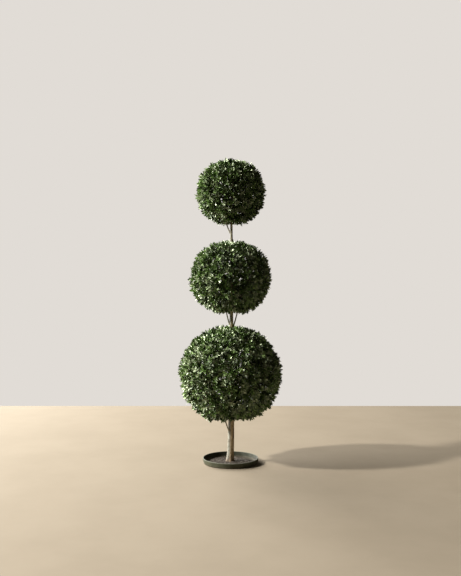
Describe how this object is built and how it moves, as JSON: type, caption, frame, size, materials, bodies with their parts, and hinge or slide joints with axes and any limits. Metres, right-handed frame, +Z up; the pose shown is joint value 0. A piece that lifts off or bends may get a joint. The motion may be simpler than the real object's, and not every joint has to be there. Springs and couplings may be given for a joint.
{
  "type": "three-ball box topiary in a dish",
  "caption": "Evergreen shrub clipped into balls that shrink upwards on one slender bare trunk, with thin side shoots, standing in a shallow round dish of soil.",
  "frame": {"origin": "middle of the dish's flat underside, on the surface that the plant stands on", "axes": "+Z up along the trunk; +Y away from the picture's camera; +X to the picture's right"},
  "size_m": [0.5123, 0.5094, 1.5037],
  "materials": {
    "stoneware": "matt grey-green stoneware",
    "soil": "loose dry potting soil",
    "bark": "pale grey-brown bark with fine cracks",
    "foliage": "small half-glossy leaves in several greens"
  },
  "bodies": {
    "root": {"dish": "stoneware", "soil": "soil", "trunk": "bark", "shoot_lower_left": "bark", "shoot_middle_left": "bark", "shoot_middle_right": "bark", "shoot_upper_left": "bark", "foliage_lower": "foliage", "foliage_middle": "foliage", "foliage_upper": "foliage"}
  },
  "joints": []
}
